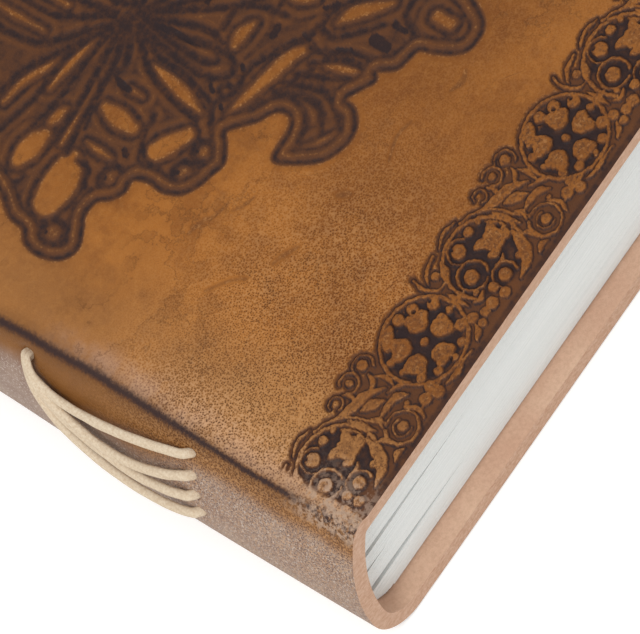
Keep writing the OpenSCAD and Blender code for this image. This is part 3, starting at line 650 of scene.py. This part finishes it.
grooves = [
    row((52, 88, 0.5), (42, 92.6, 0.45), (34, 93.2, 0.4), (26, 95, 0.3)),
    row((52, 88, 0.5), (44, 89.2, 0.45), (36, 89.4, 0.4), (29, 90.6, 0.3)),
    row((52, 88, 0.5), (42, 86.6, 0.5), (34, 85.6, 0.4), (27, 85.8, 0.3)),
    row((52, 87, 0.5), (42, 84.4, 0.5), (34, 83.6, 0.4), (28, 82.4, 0.3)),
    row((52, 87, 0.5), (45, 83, 0.45), (41, 84.6, 0.4), (33, 82.4, 0.3)),
    row((52, 86, 0.5), (46.4, 79, 0.5), (44.2, 73, 0.4), (43, 66.5, 0.3)),
    row((52, 86, 0.5), (49, 79, 0.45), (48.6, 73, 0.4), (46.8, 66.5, 0.3)),
    row((52, 86, 0.5), (50.4, 78, 0.45), (49.8, 71, 0.4), (51, 67, 0.4), (53, 66.2, 0.4), (54.6, 67.8, 0.4),
        (54.6, 72, 0.4), (53.4, 78, 0.4)),
    row((53, 86, 0.5), (52, 79, 0.4), (51.8, 72, 0.4), (53, 69.4, 0.3)),
    row((53, 86, 0.5), (55.4, 79, 0.45), (56.6, 74, 0.4), (56, 70.6, 0.3)),
    row((53.5, 86.5, 0.5), (57.5, 80, 0.45), (60.5, 75, 0.4), (63.8, 69.5, 0.4), (65, 64, 0.3)),
    row((50, 89, 0.5), (44, 95, 0.5), (41, 99, 0.4), (40, 106, 0.4)),
    row((51, 90, 0.5), (47, 97, 0.45), (46, 101, 0.4), (46, 107, 0.4)),
    row((49, 89, 0.5), (41, 94.8, 0.45), (36, 98, 0.4), (30, 99.5, 0.3)),
    row((51.5, 90, 0.5), (50.4, 97, 0.45), (51, 102, 0.4), (51.4, 107, 0.4)),
    row((53, 91, 0.5), (56, 98, 0.5), (60, 103, 0.4), (66, 106, 0.4)),
    row((53.5, 89.5, 0.5), (59, 95.5, 0.45), (66, 99.4, 0.4), (77, 101, 0.4)),
    row((54, 88, 0.5), (61, 92, 0.5), (68, 94.6, 0.4), (77, 95.4, 0.4)),
    row((54, 87, 0.5), (62, 87.6, 0.45), (70, 86.6, 0.4), (77, 86, 0.4)),
    row((54, 86, 0.5), (61, 82.6, 0.5), (66, 79, 0.4), (72, 78, 0.3)),
    row((54, 85.6, 0.5), (59.6, 79.6, 0.45), (64, 75.4, 0.4), (71, 74.6, 0.3)),
    row((28, 80, 0.3), (27.5, 77.4, 0.35), (25.4, 76.6, 0.35), (24.6, 75, 0.3)),
    row((33, 66.5, 0.4), (33.6, 70, 0.35), (36.4, 72.6, 0.35), (40.4, 73.4, 0.3)),
    row((42.6, 62.4, 0.4), (48, 59.2, 0.45), (54, 57.2, 0.45), (60, 54.4, 0.4)),
    row((44, 64, 0.4), (46.8, 65.8, 0.4), (49.4, 63.8, 0.45), (54, 64, 0.45), (57, 62.8, 0.45),
        (61, 60.8, 0.4), (64.4, 58, 0.3)),
    row((55.4, 57.4, 0.4), (57.2, 51.6, 0.45), (56.6, 46.9, 0.4), (53.6, 44.2, 0.3)),
    row((53.6, 57, 0.4), (55.2, 52.6, 0.4), (54.6, 48.9, 0.4), (51.6, 46.6, 0.3)),
    row((52, 55.8, 0.4), (53, 52.6, 0.4), (51.8, 50, 0.35), (48.6, 49, 0.3)),
    row((57.6, 56.6, 0.4), (59.4, 51.8, 0.4), (61.4, 47, 0.3)),
    row((60, 55.6, 0.4), (63.6, 50.6, 0.4), (64, 45.8, 0.3)),
    row((62.4, 57, 0.4), (62.8, 54, 0.4), (65, 49.8, 0.35), (65.6, 46.6, 0.3)),
    row((66, 58, 0.4), (65.8, 54.6, 0.4), (68.4, 51.4, 0.4), (71.4, 48.6, 0.3)),
    row((66.6, 57.6, 0.3), (69.4, 57.4, 0.35), (73, 55, 0.35), (77, 51, 0.3)),
    row((72, 62, 0.4), (74, 58.6, 0.4), (77, 56.4, 0.4)),
    row((66, 66, 0.4), (70, 66.5, 0.4), (74, 70, 0.4), (77, 71, 0.4)),
    row((58, 72, 0.3), (62.6, 72, 0.35), (65.8, 69, 0.35), (69.4, 69.8, 0.35), (73, 74.6, 0.3)),
    row((77, 46.6, 0.4), (74.4, 46, 0.35), (72.6, 43, 0.3)),
    row((16.4, 85.4, 0.3), (18.4, 87.4, 0.35), (21.4, 86.4, 0.3)),
    row((20.4, 90.4, 0.3), (21.6, 93.6, 0.35), (26, 96.6, 0.3), (32, 101, 0.3), (34, 106, 0.3)),
]
fields = [
    row((19.8, 80.2, 2.6), (22.8, 80.2, 3.3), (25.8, 80.6, 2.6), (28.2, 81, 1.0)),
    row((23.2, 89, 1.4), (25.8, 88.6, 2.2), (28.8, 87.8, 1.1)),
    row((31, 88, 0.7), (32.6, 87.7, 0.9), (34, 87.4, 0.5)),
    row((35.6, 91.9, 0.35), (41, 91.2, 0.75), (47.6, 90.1, 0.35)),
    row((36.8, 75.2, 1.2), (37.1, 78.4, 1.8), (37.6, 81.4, 1.0)),
    row((31, 75.4, 0.35), (31, 78, 0.75), (31.3, 80.6, 0.3)),
    row((34.4, 69.8, 1.2), (36.8, 68.4, 2.0), (40.4, 66.2, 1.3)),
    row((44.6, 66.8, 0.35), (45.7, 71, 1.1), (46.6, 75, 0.9), (47.1, 79, 0.3)),
    row((56.6, 68.6, 0.7), (58.7, 68.7, 1.3), (61.2, 68, 0.6)),
    row((46.4, 62.3, 0.4), (50, 61.4, 0.9), (55, 60.2, 1.3), (59.5, 58.9, 1.2), (62, 57.4, 0.6)),
    row((61.2, 52.8, 0.3), (62, 49.6, 0.65), (63, 46.4, 0.35)),
    row((47.4, 47.8, 0.4), (49.4, 45.9, 0.7), (52.4, 44.0, 0.5)),
    row((68, 55.4, 0.4), (70.5, 54, 1.3), (73, 51.5, 1.1), (75.2, 49.2, 0.6)),
    row((76.6, 38.4, 0.9), (76.6, 41.4, 0.9)), row((42, 77, 0.3), (42.1, 79.6, 0.5)),
    row((29, 84.2, 0.3), (34, 84.7, 0.5), (40, 85.4, 0.3)),
    row((30, 97.4, 0.4), (35, 96.2, 0.7), (41, 92.9, 0.35)),
    row((62, 97.6, 0.4), (67, 97.4, 0.9), (74, 98.4, 0.5)),
    row((64, 84.8, 0.4), (69, 82.8, 1.3), (75, 81.4, 0.9)),
    row((14.6, 95.5, 1.0), (17, 99.5, 1.9), (18.6, 105, 2.2)),
    row((26, 101.6, 0.6), (29, 103.4, 1.2), (31, 105, 1.2)),
    row((69.6, 61.4, 0.6), (68.4, 63.6, 1.0), (68, 66.4, 0.4)), row((76.8, 60.6, 1.3), (76.8, 65, 1.3)),
    row((64, 90.6, 0.4), (70, 90.9, 0.9), (77, 90.8, 0.7)),
    row((56, 93.6, 0.3), (61, 99.4, 0.6), (67, 103.4, 0.4)), row((43.2, 99, 0.4), (43, 105, 0.7)),
    row((48.6, 98, 0.4), (48.6, 105, 0.6)),
]
eyes = [
    (16, 76, 2.3), (28.2, 72.9, 2.3), (34.9, 62.6, 2.2), (39.4, 61.9, 2.1), (15.2, 92.6, 1.7),
    (76.85, 75, 2.2), (49.5, 65.2, 1.0),
]
holes = [
    row((41.9, 79.6, 0.4), (42, 81.4, 0.7), (42.6, 83, 0.3)), row((68.5, 45.8, 1.0), (68.6, 48.2, 1.1)),
    row((72.2, 44.4, 0.4), (72.4, 46.8, 0.6)), row((64.2, 53, 0.3), (65.2, 50.8, 0.5)),
    row((61.2, 64, 0.8), (62.6, 64.2, 0.7)), row((48.4, 67, 0.4), (49, 68, 0.4)),
    row((53.8, 64.6, 0.5), (54.4, 65.4, 0.4)), row((63.4, 58, 0.4), (63.6, 59.4, 0.4)),
    row((46.8, 64, 0.4), (47.2, 64.6, 0.3)), row((32.6, 73.4, 0.6), (33.2, 74.2, 0.5)),
    row((60.4, 77.4, 0.5), (63, 77.6, 0.4)), row((69, 59, 0.4), (70.6, 57.6, 0.5)),
    row((53.6, 74, 0.35), (53.4, 80, 0.6), (53, 83, 0.3)),
]


# Marks that the grain has taken in use: short dark scores on the plain hide
marks = (
    ((26.8, 55.6, 0.05), (29.6, 54.8, 0.30), (31.4, 53.6, 0.15), (34.4, 52.8, 0.05)),
    ((29.6, 39.8, 0.05), (31.4, 39.2, 0.25), (34, 37.8, 0.05)),
    ((33.6, 51.4, 0.02), (35.4, 50.2, 0.15), (37.4, 49.6, 0.02)),
    ((44.2, 37.4, 0.25), (45.0, 36.4, 0.45), (45.4, 35.6, 0.1)),
    ((67.6, 31.6, 0.1), (69.8, 30.8, 0.35), (71.6, 31.4, 0.1)),
    ((20.4, 47, 0.02), (23.6, 44.6, 0.12), (25.4, 42.2, 0.02)),
    ((53, 33.4, 0.02), (57, 34.8, 0.15), (60.4, 34.2, 0.02)),
    ((118, 160, 0.02), (124, 157, 0.2), (128, 152, 0.02)),
    ((36, 168, 0.02), (42, 165.4, 0.2), (45, 162, 0.05)),
    ((112, 38, 0.05), (116, 41, 0.2), (121, 42, 0.02)),
)
scores = [curve([(x - crease_x, y, w) for x, y, w in mark]) for mark in marks]


def centre_field(x, y):
    """Depth and dye of the centrepiece at places on the cover, the same in all four quarters."""
    where = np.stack([-np.abs(x - middle_x), -np.abs(y - cover_h / 2)], axis=1)
    within = inside(where, np.concatenate([rim[:, :2], [[5, 9]]]))
    edge = distance_to(where, [rim], reach=6.0)
    line = distance_to(where, grooves)
    pale = distance_to(where, fields, reach=4.0)
    dark = distance_to(where, holes)
    for eye_x, eye_y, r in eyes:
        from_eye = where - from_middle(eye_x, eye_y)
        off = np.hypot(*from_eye.T)
        line = np.minimum(line, np.abs(off - r) - 0.36)
        pale = np.minimum(pale, np.maximum(off - 0.5 * r, 0.5 * (off - 0.4 * r)))
        dark = np.minimum(dark, np.hypot(*(from_eye + [0.45, -1.2]).T) - 0.16 * r)
    drawn = 0.85 * np.exp(-((pale - 0.62) / 0.52) ** 2) + 0.5 * np.exp(-((pale - 2.6) / 0.55) ** 2)
    cut = np.maximum(smooth(-line, -0.75, 0.40), 0.8 * np.clip(drawn, 0, 1))
    raised = np.maximum(np.exp(-((line - 0.95) / 0.42) ** 2), np.exp(-((pale - 1.6) / 0.50) ** 2))
    raised *= 1 - cut
    open_field = smooth(-pale, -0.55, 0.95)
    dye = (0.69 - 0.30 * raised) * (1 - 0.86 * open_field)
    dye = dye + (0.90 - dye) * cut
    depth = 0.16 * (1 - 0.7 * open_field) + 0.24 * cut - 0.12 * raised
    pit = smooth(-dark, -0.35, 0.15)
    dye, depth = np.maximum(dye, pit), depth + 0.20 * pit
    for at, strength in ((0.10, 0.88), (2.25, 0.84)):
        mark = np.exp(-((edge - at) / 0.45) ** 2)
        dye = dye + (strength - dye) * mark
        depth = depth * (1 - mark) + 0.36 * mark
    # The bead between the two rim lines takes less dye: partly a paler ridge, partly a painted highlight
    # along it
    bead = np.exp(-((edge - 1.17) / 0.52) ** 2)
    dye, depth = dye + (0.36 - dye) * bead, depth * (1 - 0.8 * bead)
    outer_mark = np.exp(-(edge / 0.58) ** 2)
    dye = np.where(within, dye, 0.85 * outer_mark)
    depth = np.where(within, depth, 0.34 * outer_mark)
    halo = 0.16 * smooth(-edge, -2.2, 0.0)
    dye = np.where(within, dye, np.maximum(dye, halo))
    from_score = np.maximum(distance_to(np.stack([x, y], axis=1), scores), 0)
    score = np.exp(-(from_score / 0.32) ** 2)
    dye, depth = np.maximum(dye, 0.24 * score), depth + 0.12 * score
    return depth, np.clip(dye, 0, 1)


panel_columns = np.linspace(*panel_x, 411)
panel_rows = np.linspace(panel_y[0], cover_h / 2, 229)
tooled_slab("centrepiece_tail_half", panel_columns, panel_rows, centre_field)
tooled_slab("centrepiece_head_half", panel_columns, cover_h - panel_rows[::-1], centre_field)

# The rest of the same hide: it bends under the pages and lies flat on the table as the back cover, with
# its flesh side up. It shows past the tail edge of the pages.
foot_run = fold_len + spine_len + bend_len
back_runs = lines(seam_run, (foot_run + 2, 0.5), (foot_run + cover_w - back_x, 3.0))
back_ys = both_ends(lines(0.0, (6.0, 1.0), (cover_h / 2, 3.0)))
run_grid, y_grid = np.meshgrid(back_runs, back_ys, indexing="ij")
keep = np.ones((len(back_runs) - 1, len(back_ys) - 1), bool)
uneven = unevenness(run_grid, y_grid)
outer = hide_point(run_grid, y_grid, -uneven * (run_grid < hollow_end))
inner = hide_point(run_grid, y_grid, hide_t + 0.6 * uneven)
back_hide, used = slab("back_hide", keep, outer, inner, hide_materials)
set_values(back_hide, "run", np.concatenate([run_grid.ravel(), run_grid.ravel()])[used])
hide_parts("back_cover")
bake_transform(back_hide)

# The pages: four gatherings of thick handmade cotton paper, each of folded sheets one inside the other,
# sewn through the spine. The gatherings part a little towards their folds.
paper, tree, shader, place = new_material("cotton_paper")
sheets = add(tree, "VectorMath", [place, (0.02, 0.02, 3.0)], **times)
sheets = add(tree, "TexNoise", {"Vector": sheets, "Scale": 1.0, "Detail": 3.0, "Roughness": 0.7})
sheets = add(tree, "MapRange", [sheets, 0.3, 0.7], **smoothly)
fibre = add(tree, "TexNoise", {"Vector": place, "Scale": 1.8, "Detail": 5.0, "Roughness": 0.6})
fibre = add(tree, "MapRange", [fibre, 0.4, 0.8, 0.0, 0.12], **smoothly)
white = add(tree, "Mix", {0: sheets, 6: linear("#e3e6e4"), 7: linear("#edefed")}, 2, **colours)
white = add(tree, "Mix", {0: fibre, 6: white, 7: linear("#cfd2cf")}, 2, **colours)
tree.links.new(white, shader.inputs["Base Color"])
shader.inputs["Roughness"].default_value = 0.9
shader.inputs["Specular IOR Level"].default_value = 0.2
layered = add(tree, "VectorMath", [place, (0.03, 0.03, 7.0)], **times)
layered = add(tree, "TexNoise", {"Vector": layered, "Scale": 1.0, "Detail": 2.0, "Roughness": 0.6})
bump = add(tree, "Bump", {"Height": layered, "Distance": 0.00004, "Strength": 0.3})
tree.links.new(bump, shader.inputs["Normal"])

pages_low, pages_high, pages_end, end_margin = 3.2, 27.0, 148.0, 4.0
rng = np.random.default_rng(7)
sheet_count = 104
pitch = (pages_high - pages_low) / sheet_count
# Each gap has the count of sheets above it, its width at the spine, its length and how far up and down it
# pushes the sheets. The third is inside a gathering, and the others part the gatherings.
gaps = ((26, 0.40, 12.0, 5.0), (48, 1.10, 34.0, 5.0), (62, 0.60, 9.0, 1.6), (83, 1.25, 30.0, 4.5))
seams = [pages_high - pitch * count for count in (0, 26, 48, 83, sheet_count)]
fold_back, from_spine = 1.3, (0, 0.6, 1.5, 3, 5, 8, 12, 16, 20, 25, 32, 60)


def spine_inside(z):
    """Where the inner face of the spine is, at a height."""
    run = np.linspace(0, fold_len + spine_len + bend_len, 400)
    p = hide_point(run, 0 * run, hide_t + 0.3)
    return np.interp(z, p[::-1, 2], p[::-1, 0])


def parted(x, z):
    """Height of a sheet that lies at z, where the gaps at the spine push it up or down."""
    lift = 0.0 * x
    for count, width, length, spread in gaps:
        from_gap = z - (pages_high - pitch * (count - 0.015))
        push = width / 2 * smooth(length - (x - spine_inside(z)), 0.0, length)
        lift = lift + np.sign(from_gap) * push * max(0.0, 1 - abs(from_gap) / spread)
    return np.clip(z + lift, pages_low, pages_high)


page_points, page_faces = [], []
for k in range(sheet_count):
    z_top, z_low = pages_high - k * pitch, pages_high - (k + 0.97) * pitch
    z_mid = (z_top + z_low) / 2
    high = min(s for s in seams if s >= z_mid)
    low = max(s for s in seams if s < z_mid)
    off = abs(z_mid - (high + low) / 2) / ((high - low) / 2)
    start = float(spine_inside(z_mid)) + fold_back * (1 - math.sqrt(max(0.0, 1 - off ** 2)))
    start += rng.uniform(0, 0.12)
    x = np.append(start + np.array(from_spine), pages_end - rng.uniform(0, 0.35))
    tail = end_margin + rng.uniform(0, 0.035)
    head = cover_h - end_margin - rng.uniform(0, 0.10)
    base, n = len(page_points), len(x)
    for y in (tail, head):
        for z in (z_top, z_low):
            page_points += [(px, y, pz) for px, pz in zip(x, parted(x, z))]
    a, b, c, d = base, base + n, base + 2 * n, base + 3 * n
    for i in range(n - 1):
        page_faces += [(a + i, a + i + 1, c + i + 1, c + i), (b + i + 1, b + i, d + i, d + i + 1),
                       (a + i + 1, a + i, b + i, b + i + 1), (c + i, c + i + 1, d + i + 1, d + i)]
    page_faces += [(a, c, d, b), (c + n - 1, a + n - 1, b + n - 1, d + n - 1)]
pages = mesh_piece("pages", page_points, page_faces, (paper,), angle=35)
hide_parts("page_block")
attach(pages, "book")

# The sewing: four soft linen cords. Each comes out of the gathering hole, fans out along the spine, goes
# in at its own hole and runs inside the fold of its gathering to the head, where it does the same.
linen, tree, shader, place = new_material("linen_cord")
twist = add(tree, "Attribute", output="Fac", attribute_name="twist")
# Painted shade: the cord is darker in the grooves between its plies
ply_groove_shade = add(tree, "MapRange", [twist, 0.0, 0.45, 0.16, 0.0], **smoothly)
fuzz = add(tree, "TexNoise", {"Vector": place, "Scale": 2.4, "Detail": 5.0, "Roughness": 0.7})
slub = add(tree, "MapRange", [fuzz, 0.3, 0.75], **smoothly)
cream = add(tree, "Mix", {0: slub, 6: linear("#e0cfb6"), 7: linear("#c8b093")}, 2, **colours)
cream = add(tree, "Mix", {0: ply_groove_shade, 6: cream, 7: linear("#927c63")}, 2, **colours)
tree.links.new(cream, shader.inputs["Base Color"])
shader.inputs["Roughness"].default_value = 0.9
shader.inputs["Specular IOR Level"].default_value = 0.2
bump = add(tree, "Bump", {"Height": fuzz, "Distance": 0.00012, "Strength": 0.8})
tree.links.new(bump, shader.inputs["Normal"])
cord_d = 1.5
knot_top = -hide_t - 0.3
# The way of each cord from the gathering hole to its own, as distances from the fold and the tail edge
hung = (((7.6, 66.2), (9.2, 62.6), (9.4, 58), (8.9, 52), (8.0, 46), (6.8, 40)),
        ((8.1, 66.3), (10.7, 62.6), (12.4, 58), (14.0, 52), (13.9, 46), (12.4, 40)),
        ((9.0, 66.6), (12.0, 63.4), (14.3, 58.6), (16.0, 52.6), (17.0, 46.2), (16.4, 40)),
        ((9.6, 66.9), (13.2, 64.2), (17.0, 60.2), (20.0, 53.6), (21.4, 46.6), (21.2, 40)))
# How far the cords lie over one another where they are gathered
lying_over = (0.15, 0.55, 0.0, 0.35)


def route_point(run, y, height):
    """A point of a cord's route, by its height over the grain."""
    return list(hide_point(np.array([float(run)]), np.array([float(y)]), -float(height))[0])


def half_route(i):
    """A cord from its knot to its own hole, at the tail."""
    start_run, start_y = gather_run + (-0.4, -0.4, 0.4, 0.4)[i], gather_in + (-0.4, 0.4, -0.4, 0.4)[i]
    low = cord_d / 2 + 0.1
    points = [route_point(start_run, start_y, knot_top + 0.1), route_point(start_run, start_y, -hide_t / 2),
              route_point(start_run, start_y, -0.6), route_point(start_run + 0.3, start_y - 0.4, 0.35)]
    for run, y in hung[i]:
        share = (gather_in - y) / (gather_in - fan_in)
        hollow = unevenness(np.array(float(run)), np.array(float(y)))
        slack = lying_over[i] * (1 - share) + 0.7 * math.sin(math.pi * share)
        points.append(route_point(run, y, low + slack + hollow))
    end_run = hole_runs[i]
    points += [route_point(end_run + 0.2, fan_in + 1.6, low), route_point(end_run, fan_in + 0.7, 0.45 * low),
               route_point(end_run, fan_in + 0.1, -0.5), route_point(end_run, fan_in, -hide_t / 2),
               route_point(end_run, fan_in, -hide_t - 0.3),
               route_point(end_run, fan_in, -hide_t - 2 * cord_d)]
    return points


def cord_route(i):
    """A cord from its knot at the tail, through the fold of its gathering, to its knot at the head."""
    tail = half_route(i)
    head = [[x, cover_h - y, z] for x, y, z in tail[::-1]]
    inner = [route_point(hole_runs[i], y, -hide_t - 3 * cord_d) for y in
             (fan_in + 2 * cord_d, cover_h / 3, cover_h * 2 / 3, cover_h - fan_in - 2 * cord_d)]
    return np.array(tail + inner + head)


# The way out from the spine, in which a cord that lies on it is flattened
off_spine = np.array([-0.87, 0.0, 0.49])


def soft_cord(name, route, sides, seed):
    """A round cord of three loose plies along a route, slightly flattened and uneven."""
    rough = curve(route, 8)
    length = np.concatenate([[0], np.cumsum(np.linalg.norm(np.diff(rough, axis=0), axis=1))])
    stops = np.arange(0, length[-1], 0.42)
    line = np.stack([np.interp(stops, length, rough[:, k]) for k in range(3)], axis=1)
    ahead = np.gradient(line, axis=0)
    ahead /= np.linalg.norm(ahead, axis=1)[:, None]
    side = np.array([0.0, 1.0, 0.01])
    draw = np.random.default_rng(seed)
    swell_at = np.arange(0, length[-1] + 3, 3.0)
    swell = np.interp(stops, swell_at, draw.uniform(-0.06, 0.06, len(swell_at)))
    points, twists = [], []
    around = np.linspace(0, 2 * math.pi, sides, endpoint=False)
    for k, (p, h) in enumerate(zip(line, ahead)):
        side = side - (side @ h) * h
        side /= np.linalg.norm(side)
        cross = np.cross(h, side)
        ply = np.abs(np.cos(1.5 * (around - stops[k] * 0.40)))
        squeezed = 1 - 0.42 * math.exp(-((min(p[1], cover_h - p[1]) - gather_in) / 3.4) ** 2)
        radius = cord_d / 2 * squeezed * (1.22 + 0.05 * ply + swell[k])
        ring = radius[:, None] * (np.cos(around)[:, None] * side + np.sin(around)[:, None] * cross)
        points.append(p + ring - 0.30 * (ring @ off_spine)[:, None] * off_spine)
        twists.append(ply)
    index = np.arange(len(line) * sides).reshape(len(line), sides)
    around_next = np.roll(index, -1, axis=1)
    faces = np.stack([index[:-1], around_next[:-1], around_next[1:], index[1:]], axis=-1)
    faces = faces.reshape(-1, 4).tolist() + [index[0][::-1].tolist(), index[-1].tolist()]
    piece = mesh_piece(name, np.concatenate(points), faces, (linen,), angle=80)
    set_values(piece, "twist", np.concatenate(twists))
    return piece


for i in range(4):
    cord = soft_cord(f"linen_cord_{i + 1}", cord_route(i), 14, 20 + i)
    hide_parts(f"cord_{i + 1}")
    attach(cord, "book")
for name in ("tail_knot", "head_knot"):
    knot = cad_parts[name]
    knot.data.materials.clear()
    knot.data.materials.append(linen)

# The table: plain and white, with the soft shadow of the journal on it
bpy.ops.mesh.primitive_plane_add(size=6.0, location=(0, 0, -0.00025))
floor = bpy.context.active_object
floor.name = "floor"
table, tree, shader, _ = new_material("white_table")
shader.inputs["Base Color"].default_value = linear("#f4f3f1")
shader.inputs["Roughness"].default_value = 0.9
shader.inputs["Specular IOR Level"].default_value = 0.1
rays = add(tree, "LightPath").node.outputs
seen = add(tree, "Math", [rays["Is Camera Ray"], rays["Is Glossy Ray"]], operation="MAXIMUM")
tree.links.new(add(tree, "Math", [seen, 0.30], **times), shader.inputs["Emission Strength"])
shader.inputs["Emission Color"].default_value = (1, 1, 1, 1)
floor.data.materials.append(table)

# Soft studio light: a white room and one wide lamp above
world = bpy.data.worlds.new("white_room")
bpy.context.scene.world = world
world.use_nodes = True
tree = world.node_tree
tree.nodes.clear()
rays = add(tree, "LightPath").node.outputs
seen = add(tree, "Math", [rays["Is Camera Ray"], rays["Is Glossy Ray"]], operation="MAXIMUM")
strength = add(tree, "MapRange", [seen, 0.0, 1.0, 0.70, 1.0], **smoothly)
background = add(tree, "Background", {"Color": (1, 1, 1, 1), "Strength": strength})
add(tree, "OutputWorld", {"Surface": background})
lamp_data = bpy.data.lights.new("wide_lamp", "AREA")
lamp_data.size, lamp_data.energy = 0.5, 4.0
lamp = bpy.data.objects.new("wide_lamp", lamp_data)
lamp.location = (-0.50, -0.35, 0.80)
lamp.rotation_euler = (-lamp.location).to_track_quat("-Z", "Y").to_euler()
bpy.context.scene.collection.objects.link(lamp)

# The camera looks down on the tail end of the spine from the left, through a long lens
right, up = Vector((0.5698, -0.7470, -0.3426)), Vector((0.8107, 0.4427, 0.3831))
back = Vector((-0.1345, -0.4960, 0.8578))
target = Vector((-0.050676, -0.077670, 0.030030))
away = 2.5
camera_data = bpy.data.cameras.new("camera")
camera_data.sensor_width = 36
camera_data.lens = 899.2
camera_data.clip_end = 20
camera = bpy.data.objects.new("camera", camera_data)
camera.matrix_world = Matrix((right, up, back)).transposed().to_4x4()
camera.location = target + back * away
bpy.context.scene.collection.objects.link(camera)
bpy.context.scene.camera = camera
bpy.context.scene.view_settings.view_transform = "Standard"
